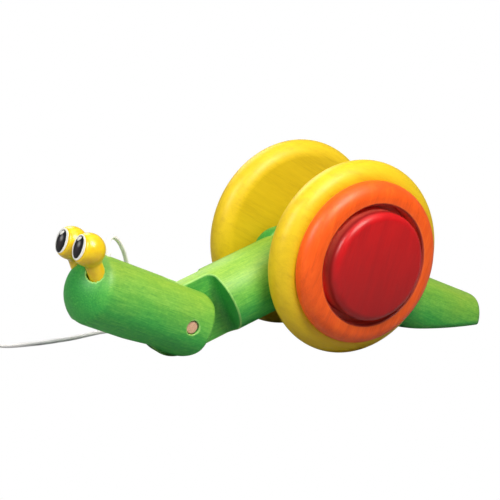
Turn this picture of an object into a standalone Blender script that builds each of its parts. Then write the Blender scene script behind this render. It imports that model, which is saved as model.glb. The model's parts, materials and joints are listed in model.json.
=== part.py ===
"""A wooden pull-along snail: three hinged dowels, a pair of layered wheels, two eye knobs and a cord.

Metres, +Z up.  The floor is z = 0, the head points along -X and the toy's left side is -Y.
The origin lies on the floor, in the middle of the toy with its cord laid out in front.
"""

import math

import bmesh
import bpy
import numpy as np
from mathutils import Matrix, Vector

MM = 0.001
GAP = 0.3 * MM

# Driving dimensions
WHEEL_X = 56.0 * MM
WHEEL_R = 60.0 * MM
DOWEL_R = 21.5 * MM
HEAD_TILT = math.radians(22.6)
TAIL_TILT = math.radians(-21.4)

# Hinges, in the middle plane of the toy
KNUCKLE = Vector((WHEEL_X - 101.8 * MM, 0.0, 21.5 * MM))
AXLE = Vector((WHEEL_X - 16.7 * MM, 0.0, 51.6 * MM))
LINK_TILT = math.atan2(AXLE.z - KNUCKLE.z, AXLE.x - KNUCKLE.x)
PIN = KNUCKLE + Vector((-2.0 * MM, 0.0, 1.2 * MM))

# Dowel joints: a tongue between two cheeks
TONGUE_HALF = 4.4 * MM
SLOT_HALF = TONGUE_HALF + 0.4 * MM
HEAD_CHEEK_END = 12.4 * MM
TAIL_CHEEK_END = 24.0 * MM
SCOOP_REACH = 30.3 * MM
SCOOP_SLANT = math.radians(7.7)
SCOOP_COVE = 5.0 * MM
REAR_SCOOP_R = 24.6 * MM
FRONT_TONGUE_R = PIN.z - 0.1 * MM
REAR_TONGUE_R = DOWEL_R - 0.2 * MM
SLOT_REACH = 1.1 * MM
CHEEK_FILLET = 2.6 * MM
TAIL_CHEEK_FILLET = 8.0 * MM
PIN_R = 3.9 * MM
PIN_HALF = 20.0 * MM
AXLE_R = 5.0 * MM
AXLE_HALF = 36.0 * MM

# Head
HEAD_LENGTH = 77.5 * MM
HEAD_DOME = 13.5 * MM
DOME_FILLET = 1.0 * MM
RELIEF_START = 32.0 * MM
RELIEF_TILT = math.radians(8.5)

# Tail
TAIL_LENGTH = 153.6 * MM
TAIL_DOME = 11.0 * MM
FOOT_FILLET = 5.0 * MM

# Wheel layers, as distances from the middle plane
WHEEL_INNER = 22.6 * MM
WHEEL_OUTER = 42.6 * MM
WHEEL_EDGE = 9.4 * MM
RING_R = 50.0 * MM
RING_HOLE_R = 37.1 * MM
RING_OUTER = 53.6 * MM
HUB_R = 33.6 * MM
HUB_OUTER = 60.0 * MM
HUB_EDGE = 5.0 * MM

# Eyes, placed from the knuckle along and across the head
EYE_R = 9.7 * MM
EYE_SPREAD = 10.2 * MM
EYE_ALONG = 81.3 * MM
LEFT_EYE_ABOVE = 20.9 * MM
RIGHT_EYE_ABOVE = 19.8 * MM
EYE_FACE_TILT = math.radians(17.0)
EYE_FACE_DEPTH = 6.0 * MM
STALK_R = 5.0 * MM
STALK_TILT = math.radians(45.0)
STALK_LENGTH = 24.0 * MM

# Cord
CORD_R = 1.3 * MM
CORD_HOLE_ALONG = 62.0 * MM
CORD_CLEAR = CORD_R + 2.0 * GAP
CORD_SPLIT_Y = 22.2 * MM
KNOT_R = 3.2 * MM
KNOT_POCKET_DEPTH = 9.0 * MM
BEAD_R = 9.0 * MM
LIFT = Vector((WHEEL_X - 150.0 * MM, 44.5 * MM, CORD_R + 0.1 * MM))
BEAD = Vector((WHEEL_X - 225.0 * MM, 46.5 * MM, BEAD_R + 0.1 * MM))

MATERIALS = {
    "green_stained_wood": ((0.10, 0.42, 0.06), 0.45),
    "yellow_stained_wood": ((0.95, 0.66, 0.02), 0.35),
    "orange_stained_wood": ((0.87, 0.13, 0.01), 0.40),
    "red_stained_wood": ((0.50, 0.01, 0.01), 0.30),
    "yellow_paint": ((0.95, 0.68, 0.02), 0.25),
    "plain_wood": ((0.70, 0.44, 0.26), 0.60),
    "white_cord": ((0.62, 0.62, 0.58), 0.85),
}


def clear_scene():
    for item in list(bpy.data.objects):
        bpy.data.objects.remove(item, do_unlink=True)


def make_material(name):
    colour, roughness = MATERIALS[name]
    material = bpy.data.materials.new(name)
    material.use_nodes = True
    shader = material.node_tree.nodes["Principled BSDF"]
    shader.inputs["Base Color"].default_value = (*colour, 1.0)
    shader.inputs["Roughness"].default_value = roughness
    shader.inputs["Metallic"].default_value = 0.0
    material.diffuse_color = (*colour, 1.0)
    return material


def add_object(name, bm, origin=Vector(), turn=Matrix.Identity(4)):
    """Turn a bmesh into an object whose mesh is in its own axes at the origin given."""
    bmesh.ops.remove_doubles(bm, verts=bm.verts, dist=1e-6)
    bmesh.ops.recalc_face_normals(bm, faces=bm.faces)
    if bm.calc_volume(signed=True) < 0.0:
        bmesh.ops.reverse_faces(bm, faces=bm.faces)
    mesh = bpy.data.meshes.new(name)
    bm.to_mesh(mesh)
    bm.free()
    mesh.shade_smooth()
    mesh.set_sharp_from_angle(angle=math.radians(32.0))
    obj = bpy.data.objects.new(name, mesh)
    obj.matrix_world = Matrix.Translation(origin) @ turn
    bpy.context.scene.collection.objects.link(obj)
    return obj


def add_piece(name, bm, material, origin=Vector(), turn=Matrix.Identity(4)):
    obj = add_object(name, bm, origin, turn)
    own = make_material(material)
    own.name = f"{name}_{material}"
    obj.data.materials.append(own)
    return obj


def cut(piece, cutter):
    """Leave a live cut on a piece; the cutter stays in the scene as a wire guide."""
    cutter.hide_render = True
    cutter.display_type = "WIRE"
    step = piece.modifiers.new(cutter.name, "BOOLEAN")
    step.operation = "DIFFERENCE"
    step.solver = "EXACT"
    step.object = cutter


def skin(bm, rings, closed_rows=False):
    """Join rows of equally many points; a row of one point closes an end."""
    rows = [[bm.verts.new(point) for point in ring] for ring in rings]
    pairs = list(zip(rows, rows[1:]))
    if closed_rows:
        pairs.append((rows[-1], rows[0]))
    for low, high in pairs:
        count = max(len(low), len(high))
        for i in range(count):
            j = (i + 1) % count
            corners = [low[i % len(low)], low[j % len(low)], high[j % len(high)], high[i % len(high)]]
            face = list(dict.fromkeys(corners))
            bm.faces.new(face)


def turned(profile, segments, closed=False):
    """Spin (radius, height) points about Z; points of no radius close the ends."""
    bm = bmesh.new()
    rings = []
    for radius, height in profile:
        if radius < 1e-7:
            rings.append([(0.0, 0.0, height)])
            continue
        angles = [2.0 * math.pi * i / segments for i in range(segments)]
        rings.append([(radius * math.cos(a), radius * math.sin(a), height) for a in angles])
    skin(bm, rings, closed)
    return bm


def arc(centre_r, centre_h, radius_r, radius_h, start, end, steps):
    """Points of an elliptical arc in a turned profile, with angles in degrees from the radial axis."""
    points = []
    for i in range(steps + 1):
        angle = math.radians(start + (end - start) * i / steps)
        point = (centre_r + radius_r * math.cos(angle), centre_h + radius_h * math.sin(angle))
        points.append(point)
    return points


def rod(radius, length, segments=24):
    """A plain rod along Z from 0 to its length, closed by flat ends."""
    return turned([(0.0, 0.0), (radius, 0.0), (radius, length), (0.0, length)], segments)


def across(sign=1.0):
    """Turn a piece made about Z so that its axis points along +Y or -Y."""
    return Matrix.Rotation(-sign * math.pi / 2.0, 4, "X")


def rounded_meet(a, b, radius):
    """Signed distance of the overlap of two shapes whose shared edge has a fillet."""
    low = np.minimum(np.maximum(a, b), -radius)
    return low + np.hypot(np.maximum(a + radius, 0.0), np.maximum(b + radius, 0.0))


def cheek_outline(u, w, end, top_r, bottom_r):
    """Side view of a dowel's forked end: square across, with rounded corners, ending at u = -end."""
    corner = np.where(w > 0.0, top_r, bottom_r)
    over_u = -end + corner - u
    over_w = np.abs(w) - (DOWEL_R + 0.4 * MM - corner)
    outside = np.hypot(np.maximum(over_u, 0.0), np.maximum(over_w, 0.0))
    return outside + np.minimum(np.maximum(over_u, over_w), 0.0) - corner


def dome(u, v, w, end, depth):
    """Distance to a shallow spherical cap that closes a dowel at u = end."""
    radius = (DOWEL_R**2 + depth**2) / (2.0 * depth)
    beyond = np.maximum(u - end + radius, 0.0)
    return np.sqrt(beyond**2 + v**2 + w**2) - radius


def head_shape(u, v, w):
    relief = (math.sin(RELIEF_TILT) * (RELIEF_START - u) - math.cos(RELIEF_TILT) * (w + DOWEL_R))
    pin = HEAD_AXES.to_3x3().transposed() @ (PIN - KNUCKLE)
    knuckle = np.hypot(u - pin.x, w - pin.z) - FRONT_TONGUE_R
    side = np.maximum(cheek_outline(u, w, HEAD_CHEEK_END, 8.0 * MM, 12.5 * MM), np.minimum(relief, knuckle))
    forked = rounded_meet(np.hypot(v, w) - DOWEL_R, side, CHEEK_FILLET)
    return rounded_meet(forked, dome(u, v, w, HEAD_LENGTH, HEAD_DOME), DOME_FILLET)


def tail_shape(u, v, w):
    side = cheek_outline(u, w, TAIL_CHEEK_END, DOWEL_R, DOWEL_R)
    forked = rounded_meet(np.hypot(v, w) - DOWEL_R, side, TAIL_CHEEK_FILLET)
    height = AXLE.z + u * math.sin(TAIL_TILT) + w * math.cos(TAIL_TILT)
    footed = rounded_meet(forked, -height, FOOT_FILLET)
    return rounded_meet(footed, dome(u, v, w, TAIL_LENGTH, TAIL_DOME), DOME_FILLET)


def link_shape(u, v, w):
    length = (AXLE - KNUCKLE).length
    pin = LINK_AXES.to_3x3().transposed() @ (PIN - KNUCKLE)
    front = np.hypot(np.minimum(u - pin.x, 0.0), w - pin.z) - FRONT_TONGUE_R
    rear = np.hypot(np.maximum(u - length, 0.0), w) - REAR_TONGUE_R
    ends = np.where(u < pin.x, front, np.where(u > length, rear, -DOWEL_R))
    return rounded_meet(np.hypot(v, w) - DOWEL_R, ends, 0.8 * MM)


def shaped_dowel(shape, low, high, meridians=36, rows=21):
    """Skin a solid given by a signed distance, with rays cast outwards from its axis.

    Each meridian is traced finely and then thinned, so that its points gather where it bends.
    """
    dense = 240
    angles = np.radians(np.linspace(90.0, 0.0, dense))
    starts = np.concatenate([np.full(dense, low), np.linspace(low, high, dense), np.full(dense, high)])
    lifts = np.concatenate([-np.sin(angles), np.zeros(dense), np.sin(angles[::-1])])
    spreads = np.sqrt(1.0 - lifts**2)
    spreads[[0, -1]] = 0.0
    rows_of_points = [[] for _ in range(rows)]
    for k in range(meridians):
        turn = 2.0 * math.pi * (k + 0.5) / meridians
        near = np.zeros(len(starts))
        far = np.full(len(starts), 0.2)
        for _ in range(40):
            middle = (near + far) / 2.0
            reach = middle * spreads
            value = shape(starts + middle * lifts, reach * math.cos(turn), reach * math.sin(turn))
            near = np.where(value < 0.0, middle, near)
            far = np.where(value < 0.0, far, middle)
        along = starts + near * lifts
        out = near * spreads
        step = np.hypot(np.diff(along), np.diff(out))
        heading = np.unwrap(np.arctan2(np.diff(out), np.diff(along)))
        bend = np.concatenate([[0.0], np.abs(np.diff(heading))])
        weight = np.concatenate([[0.0], np.cumsum(step + 9.0 * MM * bend)])
        marks = np.linspace(0.0, weight[-1], rows)
        us = np.interp(marks, weight, along)
        rs = np.interp(marks, weight, out)
        for row, u, r in zip(rows_of_points, us, rs):
            row.append((u, r * math.cos(turn), r * math.sin(turn)))
    ends = [[np.mean(rows_of_points[i], axis=0)] for i in (0, -1)]
    bm = bmesh.new()
    skin(bm, [ends[0]] + rows_of_points[1:-1] + [ends[1]])
    return bm


def dowel_axes(tilt, forward):
    """Axes of a dowel: u along it, v across the toy, w upwards."""
    u = Vector((forward * math.cos(tilt), 0.0, math.sin(tilt)))
    w = Vector((-forward * math.sin(tilt), 0.0, math.cos(tilt)))
    v = w.cross(u)
    return Matrix((u, v, w)).transposed().to_4x4()


HEAD_AXES = dowel_axes(HEAD_TILT, -1.0)
LINK_AXES = dowel_axes(LINK_TILT, 1.0)
TAIL_AXES = dowel_axes(TAIL_TILT, 1.0)


def slot_cutter(name, origin, axes, reach, slant):
    """A slot open to the rear, whose blind end leans by a slant and stays clear of the tongue."""
    far = 60.0 * MM
    tall = 40.0 * MM
    top = reach / math.cos(slant) - tall * math.tan(slant)
    bottom = reach / math.cos(slant) + tall * math.tan(slant)
    outline = [(-far, -tall), (bottom, -tall), (top, tall), (-far, tall)]
    bm = bmesh.new()
    skin(bm, [[(u, v, w) for u, w in outline] for v in (-SLOT_HALF, SLOT_HALF)])
    bm.verts.ensure_lookup_table()
    bm.faces.new(bm.verts[:4])
    bm.faces.new(bm.verts[4:8])
    return add_object(name, bm, origin, axes)


def scoop_cutter(name, sign):
    """One side of the space around the front tongue, with a cove where the tongue meets the dowel."""
    far = 60.0 * MM
    corner = arc(SCOOP_REACH - SCOOP_COVE, TONGUE_HALF + SCOOP_COVE, SCOOP_COVE, SCOOP_COVE, -90.0, 0.0, 6)
    outline = [(-far, TONGUE_HALF)] + corner + [(SCOOP_REACH, far), (-far, far)]
    bm = bmesh.new()
    skin(bm, [[(u, sign * v, w) for u, v in outline] for w in (-far, far)])
    bm.verts.ensure_lookup_table()
    bm.faces.new(bm.verts[:len(outline)])
    bm.faces.new(bm.verts[len(outline):])
    return add_object(name, bm, PIN, LINK_AXES @ Matrix.Rotation(-SCOOP_SLANT, 4, "Y"))


def cross_hole(name, centre, radius):
    length = 60.0 * MM
    start = centre - Vector((0.0, length / 2.0, 0.0))
    return add_object(name, rod(radius, length, 32), start, across())


def build_head():
    head = add_piece("head", shaped_dowel(head_shape, -4.0 * MM, HEAD_LENGTH - 14.0 * MM),
                     "green_stained_wood", KNUCKLE, HEAD_AXES)
    slant = math.radians(21.5)
    reach = FRONT_TONGUE_R + SLOT_REACH
    cut(head, slot_cutter("head_slot", PIN, HEAD_AXES, reach, slant))
    cut(head, cross_hole("head_pin_hole", PIN, PIN_R + GAP))
    for side, sign in (("left", -1.0), ("right", 1.0)):
        ball, stalk = eye_pose(sign)
        hole = add_object(f"stalk_hole_{side}", rod(STALK_R + GAP, STALK_LENGTH + GAP, 32), ball, stalk)
        cut(head, hole)
    mouth, inward = cord_hole()
    turn = inward.to_track_quat("Z", "Y").to_matrix().to_4x4()
    bore = rod(CORD_CLEAR, 3.0 * DOWEL_R, 16)
    cut(head, add_object("cord_hole", bore, mouth - inward * 0.5 * DOWEL_R, turn))
    pocket = rod(KNOT_R + 1.0 * MM, DOWEL_R, 24)
    pocket_top = mouth + inward * (2.0 * DOWEL_R - KNOT_POCKET_DEPTH)
    cut(head, add_object("knot_pocket", pocket, pocket_top, turn))
    return head


def build_link():
    length = (AXLE - KNUCKLE).length
    link = add_piece("body", shaped_dowel(link_shape, 0.0, length), "green_stained_wood",
                     KNUCKLE, LINK_AXES)
    for side, sign in (("left", -1.0), ("right", 1.0)):
        cut(link, scoop_cutter(f"front_scoop_{side}", sign))
        start = AXLE + Vector((0.0, sign * TONGUE_HALF, 0.0))
        cut(link, add_object(f"rear_scoop_{side}", rod(REAR_SCOOP_R, 30.0 * MM, 56), start, across(sign)))
    cut(link, cross_hole("body_pin_hole", PIN, PIN_R + GAP))
    cut(link, cross_hole("body_axle_hole", AXLE, AXLE_R + GAP))
    return link


def build_tail():
    tail = add_piece("tail", shaped_dowel(tail_shape, -4.0 * MM, TAIL_LENGTH - 34.0 * MM),
                     "green_stained_wood", AXLE, TAIL_AXES)
    cut(tail, slot_cutter("tail_slot", AXLE, TAIL_AXES, REAR_TONGUE_R + SLOT_REACH, 0.0))
    cut(tail, cross_hole("tail_axle_hole", AXLE, AXLE_R + GAP))
    return tail


def build_pins():
    start = PIN - Vector((0.0, PIN_HALF, 0.0))
    add_piece("head_pin", rod(PIN_R, 2.0 * PIN_HALF), "plain_wood", start, across())
    start = AXLE - Vector((0.0, AXLE_HALF, 0.0))
    add_piece("axle", rod(AXLE_R, 2.0 * AXLE_HALF), "plain_wood", start, across())


def wheel_profile():
    edge = WHEEL_EDGE
    middle = (WHEEL_INNER + WHEEL_OUTER) / 2.0
    half = WHEEL_OUTER - middle
    rim = arc(WHEEL_R - edge, middle, edge, half, -90.0, 90.0, 8)
    return [(0.0, WHEEL_INNER)] + rim + [(0.0, WHEEL_OUTER)]


def ring_profile():
    back = WHEEL_OUTER + GAP
    crown = arc(RING_R - 9.0 * MM, RING_OUTER - 8.5 * MM, 9.0 * MM, 8.5 * MM, 0.0, 90.0, 6)
    lip = arc(RING_HOLE_R + 1.6 * MM, RING_OUTER - 1.6 * MM, 1.6 * MM, 1.6 * MM, 90.0, 180.0, 3)
    return [(RING_HOLE_R, back), (RING_R, back)] + crown + lip


def hub_profile():
    back = WHEEL_OUTER + GAP
    edge = arc(HUB_R - HUB_EDGE, HUB_OUTER - HUB_EDGE, HUB_EDGE, HUB_EDGE, 0.0, 90.0, 5)
    return [(0.0, back), (HUB_R, back)] + edge + [(0.0, HUB_OUTER)]


def build_wheels():
    for side, sign in (("left", -1.0), ("right", 1.0)):
        centre = Vector((WHEEL_X, 0.0, WHEEL_R))
        turn = across(sign)
        wheel = add_piece(f"wheel_{side}", turned(wheel_profile(), 56), "yellow_stained_wood", centre, turn)
        start = AXLE + Vector((0.0, sign * (WHEEL_INNER - 5.0 * MM), 0.0))
        depth = AXLE_HALF - WHEEL_INNER + 5.0 * MM + GAP
        cut(wheel, add_object(f"axle_socket_{side}", rod(AXLE_R + GAP, depth, 32), start, turn))
        add_piece(f"ring_{side}", turned(ring_profile(), 52, closed=True), "orange_stained_wood", centre, turn)
        add_piece(f"hub_cap_{side}", turned(hub_profile(), 48), "red_stained_wood", centre, turn)


def eye_pose(sign):
    """Centre of an eye ball, and the axes of its stalk, whose Z runs down into the head."""
    above = LEFT_EYE_ABOVE if sign < 0.0 else RIGHT_EYE_ABOVE
    ball = KNUCKLE + HEAD_AXES.to_3x3() @ Vector((EYE_ALONG, 0.0, above))
    ball.y = sign * EYE_SPREAD
    down = HEAD_AXES.to_3x3() @ Vector((-math.cos(STALK_TILT), 0.0, -math.sin(STALK_TILT)))
    return ball, down.to_track_quat("Z", "Y").to_matrix().to_4x4()


def build_eyes():
    neck = math.degrees(math.acos(STALK_R / EYE_R))
    ball_arc = arc(0.0, 0.0, EYE_R, EYE_R, -90.0, neck, 11)
    profile = [(0.0, -EYE_R)] + ball_arc[1:] + [(STALK_R, STALK_LENGTH), (0.0, STALK_LENGTH)]
    for side, sign in (("left", -1.0), ("right", 1.0)):
        ball, stalk = eye_pose(sign)
        eye = add_piece(f"eye_{side}", turned(profile, 28), "yellow_paint", ball, stalk)
        look = Vector((-math.cos(EYE_FACE_TILT), 0.0, math.sin(EYE_FACE_TILT)))
        turn = look.to_track_quat("Z", "Y").to_matrix().to_4x4()
        cut(eye, add_object(f"eye_face_{side}", rod(EYE_R * 1.5, EYE_R, 32),
                            ball + look * EYE_FACE_DEPTH, turn))


def cord_hole():
    """Mouth of the cord's hole on the crown of the head, and the direction it is drilled in."""
    mouth = KNUCKLE + HEAD_AXES.to_3x3() @ Vector((CORD_HOLE_ALONG, 0.0, DOWEL_R))
    inward = HEAD_AXES.to_3x3() @ Vector((0.0, 0.0, -1.0))
    return mouth, inward


def smooth_path(points, steps):
    """A curve through every point, with its tangents taken from the points next to it."""
    padded = [2.0 * points[0] - points[1]] + list(points) + [2.0 * points[-1] - points[-2]]
    path = []
    for a, b, c, d in zip(padded, padded[1:], padded[2:], padded[3:]):
        for i in range(steps):
            t = i / steps
            bend = (2.0 * a - 5.0 * b + 4.0 * c - d) * t**2 + (3.0 * b - a - 3.0 * c + d) * t**3
            path.append(0.5 * (2.0 * b + (c - a) * t + bend))
    path.append(points[-1])
    return path


def swept(path, radius_at, sides=8):
    """A tube along a path, closed by flat ends."""
    across_path = (path[1] - path[0]).orthogonal().normalized()
    rings = [[path[0]]]
    for i, point in enumerate(path):
        ahead = path[min(i + 1, len(path) - 1)] - path[max(i - 1, 0)]
        ahead.normalize()
        across_path = (across_path - ahead * across_path.dot(ahead)).normalized()
        other = ahead.cross(across_path)
        ring = []
        for k in range(sides):
            angle = 2.0 * math.pi * k / sides
            ring.append(point + radius_at(i) * (math.cos(angle) * across_path + math.sin(angle) * other))
        rings.append(ring)
    rings.append([path[-1]])
    bm = bmesh.new()
    skin(bm, rings)
    return bm


def cord_points():
    """Guide points of the cord from its mouth in the head to the place where it can be lifted."""
    offsets = [(-147.8, 6.0, 70.3), (-143.0, 11.0, 72.4), (-136.5, 16.0, 69.0), (-130.7, 20.0, 62.5),
               (-125.0, 24.5, 53.0), (-118.5, 30.5, 38.0), (-113.5, 38.0, 20.0), (-111.5, 45.0, 6.0),
               (-114.5, 49.0, 2.0), (-126.0, 50.0, 1.4), (-138.0, 47.2, 1.4), (-150.0, 44.5, 1.4)]
    return [Vector((WHEEL_X + x * MM, y * MM, z * MM)) for x, y, z in offsets]


def knot_beads(centre, along):
    """Centre line points and radii of a small round knot, in the direction of the cord."""
    shares = [0.55, 0.9, 1.0, 0.9, 0.55]
    points = [centre + along * KNOT_R * (i / 2.0 - 1.0) for i in range(len(shares))]
    return points, [KNOT_R * share for share in shares]


def build_upper_cord():
    """The knot inside the head, the run up to the mouth and the crest of the loop."""
    mouth, inward = cord_hole()
    knot = mouth + inward * (2.0 * DOWEL_R - KNOT_POCKET_DEPTH + KNOT_R + GAP)
    points, sizes = knot_beads(knot, -inward)
    path = loop_path()
    stem = [knot - inward * (KNOT_R + 0.4 * MM)] + [point for point in path if point.y <= CORD_SPLIT_Y]
    sizes += [CORD_R] * len(stem)
    add_piece("cord_upper", swept(points + stem, lambda i: sizes[i]), "white_cord")


def build_lower_cord():
    """The fall of the loop beside the head and its run along the floor, up to the lifting point."""
    path = [point for point in loop_path() if point.y > CORD_SPLIT_Y]
    path[0] = path[0] + (path[1] - path[0]).normalized() * GAP
    floor = [point for point in path[:-1] if (point - LIFT).length > 3.0 * MM]
    end = LIFT - (LIFT - floor[-1]).normalized() * (CORD_R + GAP)
    add_piece("cord_lower", swept(floor + [end], lambda i: CORD_R), "white_cord")


def build_lead():
    """The loose end that a child picks up: cord, wooden bead and the knot that holds the bead."""
    ahead = Vector((-1.0, 0.0, 0.0))
    knot = BEAD + ahead * (BEAD_R * 0.93 + KNOT_R)
    guide = [LIFT, LIFT + Vector((-24.0, -1.4, 0.0)) * MM, LIFT + Vector((-46.0, 0.4, 0.9)) * MM,
             BEAD - ahead * (BEAD_R + 2.0 * MM), BEAD, knot - ahead * (KNOT_R + 0.4 * MM)]
    path = smooth_path(guide, 5)
    points, radii = knot_beads(knot, ahead)
    tip = [LIFT + (LIFT - path[1]).normalized() * CORD_R * share for share in (0.97, 0.7)]
    sizes = [CORD_R * 0.25, CORD_R * 0.71] + [CORD_R] * len(path) + radii
    add_piece("cord_lead", swept(tip + path + points, lambda i: sizes[i]), "white_cord")
    outer = arc(0.0, 0.0, BEAD_R, BEAD_R, -78.0, 78.0, 9)
    bore = CORD_CLEAR + 0.3 * MM
    profile = [(bore, outer[0][1])] + outer + [(bore, outer[-1][1])]
    turn = ahead.to_track_quat("Z", "Y").to_matrix().to_4x4()
    add_piece("grip_bead", turned(profile, 24, closed=True), "plain_wood", BEAD, turn)


def loop_path():
    mouth, inward = cord_hole()
    return smooth_path([mouth + inward * 6.0 * MM, mouth - inward * 1.0 * MM] + cord_points(), 4)


def build_cord():
    build_upper_cord()
    build_lower_cord()
    build_lead()


def build_all():
    clear_scene()
    build_cord()
    build_head()
    build_link()
    build_tail()
    build_pins()
    build_wheels()
    build_eyes()


build_all()
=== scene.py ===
"""Looks of a wooden pull-along snail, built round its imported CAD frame.

Metres, +Z up.  The head points along -X and the toy's left side, -Y, faces the camera.
"""

import json
import math
from collections import namedtuple

import bmesh
import bpy
import numpy as np
from mathutils import Matrix, Vector


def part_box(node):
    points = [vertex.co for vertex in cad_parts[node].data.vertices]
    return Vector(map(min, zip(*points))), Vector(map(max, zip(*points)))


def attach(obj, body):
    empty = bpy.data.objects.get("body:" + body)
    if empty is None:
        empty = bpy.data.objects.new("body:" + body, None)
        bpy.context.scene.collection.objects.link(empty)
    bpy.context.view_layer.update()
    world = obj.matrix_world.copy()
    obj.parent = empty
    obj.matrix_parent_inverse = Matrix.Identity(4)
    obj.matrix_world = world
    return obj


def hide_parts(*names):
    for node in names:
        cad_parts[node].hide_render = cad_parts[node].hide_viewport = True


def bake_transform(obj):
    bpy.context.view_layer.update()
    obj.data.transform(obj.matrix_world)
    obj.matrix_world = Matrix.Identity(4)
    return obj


MM = 0.001

# Dowels
DOWEL_R = 21.5 * MM
HEAD_TILT = math.radians(22.6)
TAIL_TILT = math.radians(-21.4)
PIN_FROM_KNUCKLE = Vector((-2.0 * MM, 0.0, 1.2 * MM))
TONGUE_HALF = 4.4 * MM
SLOT_HALF = 4.8 * MM
HEAD_CHEEK_END = 12.4 * MM
TAIL_CHEEK_END = 24.0 * MM
SCOOP_REACH = 30.3 * MM
SCOOP_SLANT = math.radians(7.7)
SCOOP_COVE = 5.0 * MM
REAR_SCOOP_R = 24.6 * MM
REAR_TONGUE_R = 21.3 * MM
SLOT_REACH = 1.1 * MM
HEAD_SLOT_SLANT = math.radians(21.5)
CHEEK_FILLET = 2.6 * MM
TAIL_CHEEK_FILLET = 8.0 * MM
DOME_FILLET = 1.0 * MM
FOOT_FILLET = 5.0 * MM
TONGUE_FILLET = 0.8 * MM
HEAD_CHEEK_CORNERS = (8.0 * MM, 12.5 * MM)
EDGE = 0.6 * MM
HOLE_EDGE = 0.45 * MM
GAP = 0.3 * MM
PIN_R = 3.9 * MM
AXLE_R = 5.0 * MM
HEAD_LENGTH = 77.5 * MM
HEAD_DOME = 13.5 * MM
RELIEF_START = 32.0 * MM
RELIEF_TILT = math.radians(8.5)
TAIL_LENGTH = 153.6 * MM
TAIL_DOME = 11.0 * MM

# Eyes, placed from the front joint along and across the head
EYE_R = 9.7 * MM
EYE_SPREAD = 10.2 * MM
EYE_ALONG = 81.3 * MM
LEFT_EYE_ABOVE = 20.9 * MM
RIGHT_EYE_ABOVE = 19.8 * MM
EYE_FACE_TILT = math.radians(17.0)
EYE_FACE_DEPTH = 6.0 * MM
STALK_R = 5.0 * MM
STALK_TILT = math.radians(45.0)
STALK_LENGTH = 24.0 * MM

# Cord
CORD_R = 1.3 * MM
CORD_HOLE_ALONG = 62.0 * MM
KNOT_R = 3.2 * MM
KNOT_POCKET_DEPTH = 9.0 * MM


def linear(red, green, blue):
    """A display colour given in 0..255 as linear light."""
    values = []
    for channel in (red, green, blue):
        share = channel / 255.0
        values.append(share / 12.92 if share <= 0.04045 else ((share + 0.055) / 1.055) ** 2.4)
    return (*values, 1.0)


# ---------------------------------------------------------------- shapes as signed distances

def rounded_meet(a, b, radius):
    """Overlap of two shapes whose shared edge has a fillet."""
    low = np.minimum(np.maximum(a, b), -radius)
    return low + np.hypot(np.maximum(a + radius, 0.0), np.maximum(b + radius, 0.0))


def rounded_join(a, b, radius):
    """Sum of two shapes with a fillet in the corner between them."""
    return -rounded_meet(-a, -b, radius)


def cheek_outline(u, w, end, top_r, bottom_r):
    """Side view of a dowel's forked end: square across, with rounded corners, ending at u = -end."""
    corner = np.where(w > 0.0, top_r, bottom_r)
    over_u = -end + corner - u
    over_w = np.abs(w) - (DOWEL_R + 0.4 * MM - corner)
    outside = np.hypot(np.maximum(over_u, 0.0), np.maximum(over_w, 0.0))
    return outside + np.minimum(np.maximum(over_u, over_w), 0.0) - corner


def dome(u, v, w, end, depth):
    radius = (DOWEL_R**2 + depth**2) / (2.0 * depth)
    beyond = np.maximum(u - end + radius, 0.0)
    return np.sqrt(beyond**2 + v**2 + w**2) - radius


def dowel_axes(tilt, forward):
    """Axes of a dowel: u along it, v across the toy, w upwards."""
    u = Vector((forward * math.cos(tilt), 0.0, math.sin(tilt)))
    w = Vector((-forward * math.sin(tilt), 0.0, math.cos(tilt)))
    return Matrix((u, w.cross(u), w)).transposed().to_4x4()


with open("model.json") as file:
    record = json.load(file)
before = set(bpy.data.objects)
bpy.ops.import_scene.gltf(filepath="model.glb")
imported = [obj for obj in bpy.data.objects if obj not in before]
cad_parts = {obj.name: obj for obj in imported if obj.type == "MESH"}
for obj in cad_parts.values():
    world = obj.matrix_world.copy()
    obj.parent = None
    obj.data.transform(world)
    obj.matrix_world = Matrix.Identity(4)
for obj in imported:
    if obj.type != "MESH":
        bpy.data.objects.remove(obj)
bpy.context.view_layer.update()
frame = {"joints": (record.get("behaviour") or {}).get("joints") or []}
joints = {joint["name"]: joint for joint in frame["joints"]}
PIN = Vector(joints["head_pitch"]["pos_m"])
AXLE = Vector(joints["wheels_spin"]["pos_m"])
LIFT = Vector(joints["cord_lift"]["pos_m"])
KNUCKLE = PIN - PIN_FROM_KNUCKLE
FRONT_TONGUE_R = PIN.z - 0.1 * MM
LINK_LENGTH = (AXLE - KNUCKLE).length
HEAD_AXES = dowel_axes(HEAD_TILT, -1.0)
LINK_AXES = dowel_axes(math.atan2(AXLE.z - KNUCKLE.z, AXLE.x - KNUCKLE.x), 1.0)
TAIL_AXES = dowel_axes(TAIL_TILT, 1.0)
PIN_IN_HEAD = HEAD_AXES.to_3x3().transposed() @ (PIN - KNUCKLE)
PIN_IN_LINK = LINK_AXES.to_3x3().transposed() @ (PIN - KNUCKLE)
wheel_low, wheel_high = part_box("wheel_left")
WHEEL_CENTRE = Vector(((wheel_low.x + wheel_high.x) / 2.0, 0.0, (wheel_low.z + wheel_high.z) / 2.0))


def drilled(solid, u, w, centre_u, centre_w, radius):
    return rounded_meet(solid, radius - np.hypot(u - centre_u, w - centre_w), HOLE_EDGE)


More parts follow.
